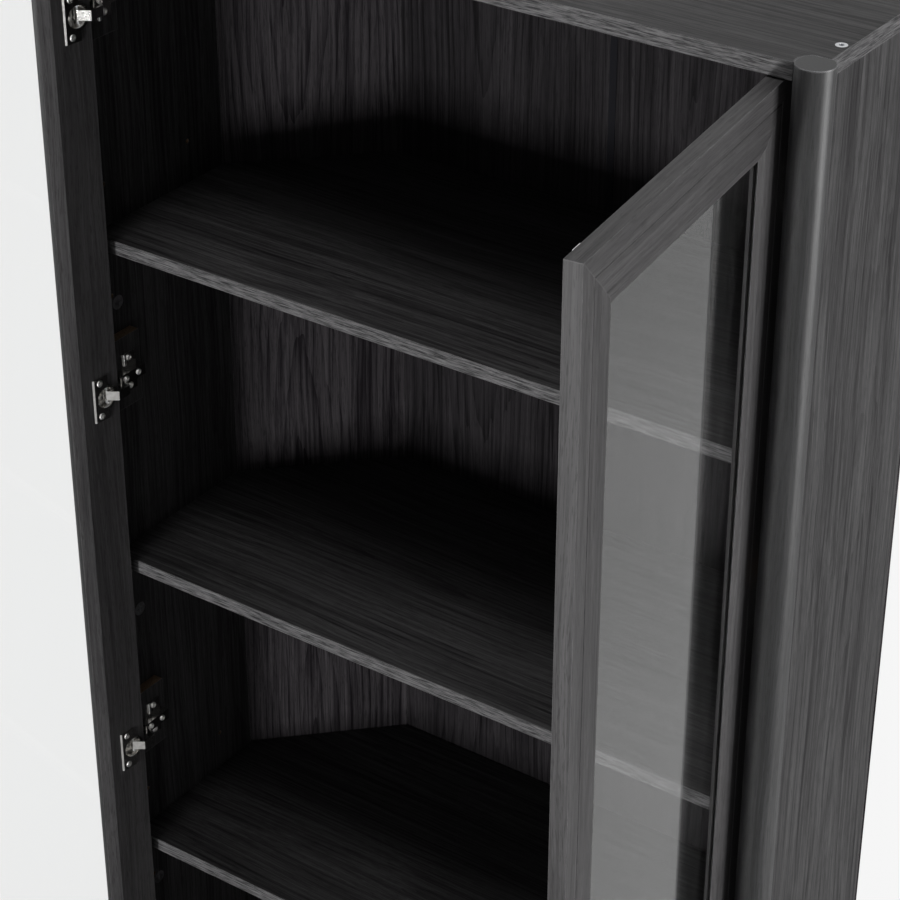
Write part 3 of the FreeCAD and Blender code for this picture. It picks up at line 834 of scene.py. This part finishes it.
def repeat(shape: Shape, pattern: Mesh, places: list[Matrix]) -> None:
    """Add a copy of a mesh at each place, and remove the mesh.

    Args:
        shape: the shape to add to.
        pattern: the mesh to copy.
        places: where the copies go.
    """
    for place in places:
        done = len(shape.verts)
        shape.from_mesh(pattern)
        shape.verts.ensure_lookup_table()
        bmesh.ops.transform(shape, matrix=place, verts=shape.verts[done:])
    bpy.data.meshes.remove(pattern)


def aim(position: Point, direction: Point) -> Matrix:
    """Return the placing that sets Z along a direction at a position."""
    turn = Vector(UP).rotation_difference(Vector(direction))
    return Matrix.Translation(position) @ turn.to_matrix().to_4x4()


@dataclass(frozen=True)
class CrossScrew:
    """A screw with a domed head and a cross recess, its head's underside at the origin, pointing down Z."""

    head_radius: float
    head_height: float
    shank_radius: float
    length: float
    recess_width: float = 0.0016
    recess_depth: float = 0.0012
    recess_reach: float = 1.15
    tip_share: float = 0.7
    rim_share: float = 0.35
    dome_angle: float = 0.4 * math.pi
    dome_steps: int = 4
    round_steps: int = 28

    def mesh(self) -> Mesh:
        """Make the screw.

        Returns:
            Its mesh, with the cross cut into the head.
        """
        screw = bpy.data.objects.new("screw", self._turned())
        cross = bpy.data.objects.new("cross", self._cross())
        for thing in (screw, cross):
            bpy.context.scene.collection.objects.link(thing)
        cut = screw.modifiers.new("recess", "BOOLEAN")
        cut.operation = "DIFFERENCE"
        cut.solver = "EXACT"
        cut.use_self = True
        cut.object = cross
        graph = bpy.context.evaluated_depsgraph_get()
        made = bpy.data.meshes.new_from_object(screw.evaluated_get(graph))
        for thing in (screw, cross):
            mesh = thing.data
            bpy.data.objects.remove(thing)
            bpy.data.meshes.remove(mesh)
        return made

    def _turned(self) -> Mesh:
        """Turn the plain screw.

        Returns:
            Its mesh, without the cross.
        """
        profile = [(0.0, -self.length), (self.shank_radius * self.tip_share, -self.length),
                   (self.shank_radius, -self.length + self.shank_radius), (self.shank_radius, 0.0),
                   (self.head_radius, 0.0), (self.head_radius, self.rim_share * self.head_height)]
        for k in range(1, self.dome_steps + 1):
            angle = k * self.dome_angle / self.dome_steps
            rise = (1.0 - self.rim_share) * math.sin(angle) / math.sin(self.dome_angle)
            profile.append((self.head_radius * math.cos(angle), self.head_height * (self.rim_share + rise)))
        profile.append((0.0, self.head_height))
        shape = bmesh.new()
        lathe(shape, profile, Matrix.Identity(4), self.round_steps)
        bmesh.ops.recalc_face_normals(shape, faces=shape.faces)
        return new_mesh("screw", shape)

    def _cross(self) -> Mesh:
        """Make the tool that cuts the recess.

        Returns:
            The mesh of two crossed bars at the top of the head.
        """
        shape = bmesh.new()
        reach = self.recess_reach * self.head_radius
        tall = 2 * self.recess_depth
        lift = Matrix.Translation((0.0, 0.0, self.head_height))
        for size in ((reach, self.recess_width, tall), (self.recess_width, reach, tall)):
            bmesh.ops.create_cube(shape, size=1.0, matrix=lift @ Matrix.Diagonal((*size, 1.0)))
        return new_mesh("cross", shape)


@dataclass
class Carcass:
    """The boards, posts and backs, with the seeds that set each one's place in the print."""

    arris: float = 0.0007
    post_arris: float = 0.0016
    post_arris_steps: int = 3
    strip_arris: float = 0.0002
    skin: float = 0.0004
    board_seed: float = 1.3
    kick_seed: float = 8.1
    side_seed: float = 11.7
    post_seed: float = 21.4
    back_seed: float = 31.9
    corner_seed: float = 36.2
    back_step: float = 0.77

    def dress(self) -> None:
        """Dress every board of the carcass."""
        self._flat_boards()
        self._sides()
        self._posts()
        self._backs()

    def _flat_boards(self) -> None:
        """Dress the kick board and the boards that lie flat, with their lighter edge bands."""
        boards = ("top_panel", "upper_shelf", "middle_shelf", "lower_shelf", "bottom_panel")
        for step, node in enumerate(boards):
            board = LAMINATE.coat(node, GrainRun.FLAT_ACROSS, self.board_seed + step)
            EdgeBand().lay(board)
            ease(dress(node, board.material), self.arris)
        kick = LAMINATE.coat("kick_board", GrainRun.ALONG_THE_KICK, self.kick_seed)
        ease(dress("kick_board", kick.material), self.arris)

    def _sides(self) -> None:
        """Dress the sides, with raw board in their bores, between the two skins."""
        for side in Side:
            node = f"{side.word}_side"
            board = LAMINATE.coat(node, GrainRun.UP_THE_SIDE, self.side_seed + side.value)
            canvas = board.canvas
            inner, outer = sorted(abs(corner[0]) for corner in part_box(node))
            split = canvas.add("ShaderNodeSeparateXYZ", board.place)
            out = canvas.value("ABSOLUTE", split.outputs["X"])
            past_inner = canvas.value("GREATER_THAN", out, inner + self.skin)
            before_outer = canvas.value("LESS_THAN", out, outer - self.skin)
            RawBoard().lay(board, canvas.value("MULTIPLY", past_inner, before_outer))
            dress(node, board.material)

    def _posts(self) -> None:
        """Dress the round posts."""
        for side in Side:
            node = f"{side.word}_post"
            post = POST_FOIL.coat(node, GrainRun.UP_THE_SIDE, self.post_seed + side.value)
            # Painted shade on the post's top and bottom faces.
            PostEnd().lay(post)
            ease(dress(node, post.material), self.post_arris, self.post_arris_steps)

    def _backs(self) -> None:
        """Dress the thin backs and their joining strip."""
        corners = {Side.LEFT: GrainRun.UP_THE_LEFT_CORNER, Side.RIGHT: GrainRun.UP_THE_RIGHT_CORNER}
        for side in Side:
            step = self.back_step * side.value
            flat, corner = f"{side.word}_back", f"{side.word}_corner_back"
            dress(flat, HARDBOARD.coat(flat, GrainRun.UP_THE_BACK, self.back_seed + step).material)
            # The corner backs take the lighter copy of the hardboard as painted light.
            dress(corner, CORNER_BOARD_PAINTED_LIGHTER.coat(corner, corners[side], self.corner_seed + step).material)
        ease(clad("back_strip", STRIP_PLASTIC), self.strip_arris)


@dataclass
class GlassDoor:
    """One framed door with its pane, strike and knob."""

    side: Side
    arris: float = 0.0007
    strike_arris: float = 0.0003
    screw_arris: float = 0.0004
    frame_seed: float = 41.3
    door_step: float = 5.0
    dowel_seed: float = 51.0
    knob_steps: int = 48
    knob_profile: tuple[tuple[float, float], ...] = (
        (0.0, 0.0), (0.0070, 0.0), (0.0072, 0.0010), (0.0062, 0.0025), (0.0052, 0.0060), (0.0050, 0.0095),
        (0.0066, 0.0120), (0.0100, 0.0132), (0.0116, 0.0148), (0.0119, 0.0166), (0.0112, 0.0184),
        (0.0090, 0.0196), (0.0, 0.0200))

    def dress(self) -> None:
        """Dress the frame and the pane, and build the knob."""
        word = self.side.word
        self._frame()
        clad(f"{word}_glass", GLASS)
        clad(f"{word}_glazing_tape", BLACK_PLASTIC)
        dowels = f"{word}_mitre_dowels"
        dress(dowels, BEECH.coat(dowels, GrainRun.UP_THE_SIDE, self.dowel_seed).material)
        ease(clad(f"{word}_strike", ZINC), self.strike_arris)
        ease(clad(f"{word}_knob_screw", ZINC), self.screw_arris)
        self._knob()

    def _frame(self) -> None:
        """Dress the stiles and rails."""
        rail = GrainRun.LEFT_RAIL if self.side is Side.LEFT else GrainRun.RIGHT_RAIL
        upright = GrainRun.UP_THE_SIDE
        runs = {"hinge_stile": upright, "free_stile": upright, "top_rail": rail, "bottom_rail": rail}
        for step, (name, run) in enumerate(runs.items()):
            node = f"{self.side.word}_{name}"
            seed = self.frame_seed + step + self.door_step * self.side.value
            ease(dress(node, FRAME_FOIL.coat(node, run, seed).material), self.arris)

    def _knob(self) -> None:
        """Build the turned knob in the place of its plain solid."""
        node = f"{self.side.word}_knob"
        low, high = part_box(node)
        middle = (Vector(low) + Vector(high)) / 2
        lean = Vector((self.side.value * OUTWARD, BACKWARD, 0.0))
        foot = middle - lean * (self.knob_profile[-1][1] / 2)
        shape = bmesh.new()
        lathe(shape, self.knob_profile, aim(foot, lean), self.knob_steps)
        knob = new_piece(f"{self.side.word}_turned_knob", shape, NICKEL, f"{self.side.word}_door")
        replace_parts(knob, node)


@dataclass
class HingeSet:
    """The concealed hinges of one door."""

    side: Side
    heights: tuple[float, ...] = (1.4205, 1.0205, 0.5885, 0.1885)
    arris: float = 0.0003
    block_seed: float = 61.2
    block_ends: Limits = (0.6, 0.9)
    door_back: float = -0.0225
    cup_screw: CrossScrew = CrossScrew(head_radius=0.0035, head_height=0.0012, shank_radius=0.0017,
                                       length=0.010)
    cup_screw_x: float = 0.348
    cup_screw_half: float = 0.0185
    flange: float = 0.0015
    plate_face: float = 0.372
    plate_y: float = 0.0205
    plate_screw_half: float = 0.016
    channel_face: float = 0.3635
    arm_screw_y: tuple[float, ...] = (0.0065, 0.0245)
    wing_front: float = 0.0105
    lip_size: Point = (0.0026, 0.0042, 0.0135)
    lip_rounding_share: float = 0.3

    def dress(self) -> None:
        """Dress the hinge's solids and build its finer pieces."""
        word = self.side.word
        self._blocks()
        for name in ("hinge_plates", "hinge_arms", "hinge_cups"):
            ease(clad(f"{word}_{name}", NICKEL), self.arris)
        clad(f"{word}_hinge_pins", ZINC)
        self._cup_screws()
        self._wing_lips()

    def pairs(self, half: float) -> list[float]:
        """Return the heights of two fixings at each hinge, half a pitch below and above its middle."""
        return [height + step for height in self.heights for step in (-half, half)]

    def plate_places(self) -> list[Matrix]:
        """Return where the screws of the plates go."""
        return self._facing_in(self.plate_face, (self.plate_y,), self.pairs(self.plate_screw_half))

    def arm_places(self) -> list[Matrix]:
        """Return where the screws that clamp and set the arms go."""
        return self._facing_in(self.channel_face, self.arm_screw_y, self.heights)

    def _facing_in(self, x: float, depths: tuple[float, ...], heights: list[float]) -> list[Matrix]:
        """Return the places at each height and depth on an upright face that looks into the case."""
        sign = self.side.value
        return [aim((sign * x, y, height), (-sign, 0.0, 0.0)) for height in heights for y in depths]

    def _blocks(self) -> None:
        """Dress the spacer blocks, whose ends are raw board."""
        node = f"{self.side.word}_hinge_blocks"
        block = LAMINATE.coat(node, GrainRun.UP_THE_SIDE, self.block_seed + self.side.value)
        RawBoard().lay(block, block.level(self.block_ends))
        ease(dress(node, block.material), self.arris)

    def _cup_screws(self) -> None:
        """Build the screws in the cup flanges, where the open door holds them."""
        axis = Vector(DOOR_JOINTS[f"{self.side.word}_door"]["pos_m"])
        turn = Matrix.Rotation(self.side.value * OPEN_ANGLE, 4, "Z")
        opened = Matrix.Translation(axis) @ turn @ Matrix.Translation(-axis)
        seats = [(self.side.value * self.cup_screw_x, self.door_back + self.flange, height)
                 for height in self.pairs(self.cup_screw_half)]
        shape = bmesh.new()
        repeat(shape, self.cup_screw.mesh(), [opened @ aim(seat, (0.0, 1.0, 0.0)) for seat in seats])
        piece = new_piece(f"{self.side.word}_flange_screws", shape, SATIN_NICKEL, f"{self.side.word}_door",
                          smooth=False)
        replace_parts(piece, f"{self.side.word}_cup_screws")

    def _wing_lips(self) -> None:
        """Build the rolled lips at the front of each plate's two wings."""
        out, along, _ = self.lip_size
        middles = [(self.side.value * (self.plate_face - out / 2), self.wing_front + along / 2, height)
                   for height in self.pairs(self.plate_screw_half)]
        lip = bmesh.new()
        bmesh.ops.create_cube(lip, size=1.0, matrix=Matrix.Diagonal((*self.lip_size, 1.0)))
        bmesh.ops.bevel(lip, geom=lip.edges[:], offset=self.lip_rounding_share * along, segments=2,
                        affect="EDGES", profile=0.5)
        shape = bmesh.new()
        repeat(shape, new_mesh("lip", lip), [Matrix.Translation(middle) for middle in middles])
        new_piece(f"{self.side.word}_wing_lips", shape, SATIN_NICKEL, "carcass")


@dataclass
class Fastenings:
    """The screws, cams, pins and nails of the carcass, and the catch."""

    hinges: tuple[HingeSet, ...]
    arris: float = 0.0002
    catch_arris: float = 0.0006
    dowel_seed: float = 71.0
    plate_screw: CrossScrew = CrossScrew(head_radius=0.0035, head_height=0.0020, shank_radius=0.00175,
                                         length=0.019)
    arm_screw: CrossScrew = CrossScrew(head_radius=0.0032, head_height=0.0018, shank_radius=0.002,
                                       length=0.0104)

    def dress(self) -> None:
        """Dress the plain fastenings and build the screws that show."""
        for node in ("panel_screws", "shelf_pins", "post_bolts", "back_nails", "catch_magnets",
                     "catch_screws"):
            clad(node, ZINC)
        clad("post_cams", CAM_ZINC)
        for node in ("panel_screws", "post_cams", "shelf_pins"):
            ease(frame["nodes"][node], self.arris)
        dress("kick_dowels", BEECH.coat("kick_dowels", GrainRun.FLAT_ACROSS, self.dowel_seed).material)
        ease(clad("catch_body", BLACK_PLASTIC), self.catch_arris)
        plates = [place for hinge in self.hinges for place in hinge.plate_places()]
        self._screws("plate_cross_screws", self.plate_screw, plates, "plate_screws")
        arms = [place for hinge in self.hinges for place in hinge.arm_places()]
        self._screws("arm_cross_screws", self.arm_screw, arms, "arm_screws")

    @staticmethod
    def _screws(name: str, screw: CrossScrew, places: list[Matrix], node: str) -> None:
        """Build a group of screws in the place of their plain solids.

        Args:
            name: the group's name.
            screw: the screw.
            places: where the screws go.
            node: the CAD node that they stand for.
        """
        shape = bmesh.new()
        repeat(shape, screw.mesh(), places)
        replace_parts(new_piece(name, shape, SATIN_NICKEL, "carcass", smooth=False), node)


@dataclass(frozen=True)
class Lamp:
    """A soft rectangular studio lamp."""

    name: str
    position: Point
    target: Point
    size: tuple[float, float]
    watts: float
    beam_degrees: float = 180.0

    def place(self) -> None:
        """Add the lamp to the scene, unseen through the glass."""
        light = bpy.data.lights.new(self.name, "AREA")
        light.shape = "RECTANGLE"
        light.size, light.size_y = self.size
        light.energy = self.watts
        light.spread = math.radians(self.beam_degrees)
        thing = bpy.data.objects.new(self.name, light)
        thing.location = self.position
        thing.visible_transmission = False
        aimed = Vector(self.target) - Vector(self.position)
        thing.rotation_euler = aimed.to_track_quat("-Z", "Y").to_euler()
        bpy.context.scene.collection.objects.link(thing)


@dataclass
class Studio:
    """The floor, the white surroundings, the lamps and the camera."""

    floor_size: float = 60.0
    floor_tone: float = 0.42
    floor_roughness: float = 0.9
    floor_glow: float = 0.9
    ambient: float = 0.02
    mirrored_floor: float = 0.22
    mirrored_sky: float = 0.72
    camera_position: Point = (1.2317, -1.6987, 2.3076)
    camera_degrees: Point = (59.35, 0.0, 35.10)
    lens: float = 105.34
    sensor: float = 36.0
    lamps: tuple[Lamp, ...] = (
        Lamp("right_lamp", (2.8, 0.38, 1.15), (0.4, 0.1, 1.1), (1.3, 2.0), 72.0),
        Lamp("front_lamp", (-0.1, -4.0, 0.37), (0.0, 0.2, 0.9), (0.7, 0.7), 108.0),
        Lamp("strip_lamp", (1.7, -4.0, 0.45), (0.4, 0.0, 0.9), (0.3, 0.8), 9.0),
        Lamp("left_lamp", (-2.7, -0.9, 1.1), (-0.4, 0.0, 0.9), (1.0, 1.0), 17.0),
        Lamp("back_lamp", (0.0, 4.0, 1.0), (0.0, 0.3, 0.85), (1.2, 1.0), 9.0, 50.0),
        Lamp("top_lamp", (-0.55, -0.75, 3.5), (-0.1, -0.1, 1.4), (1.4, 0.7), 30.0),
    )

    def build(self) -> None:
        """Build the whole studio."""
        self._floor()
        self._world()
        for lamp in self.lamps:
            lamp.place()
        self._camera()
        bpy.context.scene.view_settings.view_transform = "Standard"

    def _floor(self) -> None:
        """Lay the pale floor."""
        shape = bmesh.new()
        bmesh.ops.create_grid(shape, x_segments=1, y_segments=1, size=self.floor_size / 2)
        mesh = new_mesh("studio_floor", shape)
        floor = bpy.data.objects.new("studio_floor", mesh)
        bpy.context.scene.collection.objects.link(floor)
        base = new_coating("studio_floor")
        surface = base.surface
        surface.inputs["Base Color"].default_value = (self.floor_tone, self.floor_tone, self.floor_tone, 1.0)
        surface.inputs["Roughness"].default_value = self.floor_roughness
        surface.inputs["Specular IOR Level"].default_value = 0.0
        glow = base.canvas.add("ShaderNodeEmission")
        self._show(base.canvas, surface, glow, self.mirrored_floor, self.floor_glow)
        mesh.materials.append(base.material)

    def _world(self) -> None:
        """Set the white surroundings and the low light that comes from them."""
        world = bpy.data.worlds.new("studio")
        world.use_nodes = True
        bpy.context.scene.world = world
        canvas = Canvas(world.node_tree)
        around = canvas.tree.nodes["Background"]
        around.inputs["Strength"].default_value = self.ambient
        white = canvas.add("ShaderNodeBackground")
        for light in (around, white):
            light.inputs["Color"].default_value = WHITE
        self._show(canvas, around, white, self.mirrored_sky)

    @staticmethod
    def _show(canvas: Canvas, lit: Node, shown: Node, share: float, strength: float = 1.0) -> None:
        """Show one shader to the rays that see the backdrop itself, and another to the rest.

        Those are the camera, transmission and glossy rays before any diffuse bounce.

        Args:
            canvas: the canvas of the floor or the world.
            lit: the shader for the rest.
            shown: the shader for those rays.
            share: what a glossy ray sees of it.
            strength: what each of those rays sees of it.
        """
        path = canvas.add("ShaderNodeLightPath").outputs
        glossed = canvas.value("MULTIPLY", path["Is Glossy Ray"], share)
        mirrored = canvas.value("MAXIMUM", glossed, path["Is Transmission Ray"])
        direct = canvas.value("LESS_THAN", path["Diffuse Depth"], 0.5)
        seen = canvas.value("MULTIPLY", canvas.value("MAXIMUM", path["Is Camera Ray"], mirrored), direct)
        factor = canvas.value("MULTIPLY", seen, strength)
        mix = canvas.add("ShaderNodeMixShader", factor, lit.outputs[0], shown.outputs[0])
        canvas.feed(canvas.tree.get_output_node("ALL").inputs["Surface"], mix.outputs[0])

    def _camera(self) -> None:
        """Set the camera at the photograph's viewpoint."""
        camera = bpy.data.cameras.new("camera")
        camera.lens = self.lens
        camera.sensor_width = self.sensor
        thing = bpy.data.objects.new("camera", camera)
        thing.location = self.camera_position
        thing.rotation_euler = [math.radians(angle) for angle in self.camera_degrees]
        bpy.context.scene.collection.objects.link(thing)
        bpy.context.scene.camera = thing


def main() -> None:
    """Build the looks in order."""
    logging.basicConfig(level=logging.INFO, format="%(name)s: %(message)s")
    Studio().build()
    Carcass().dress()
    hinges = tuple(HingeSet(side) for side in Side)
    for side, hinge in zip(Side, hinges):
        GlassDoor(side).dress()
        hinge.dress()
    Fastenings(hinges).dress()


if __name__ == "__main__":
    main()
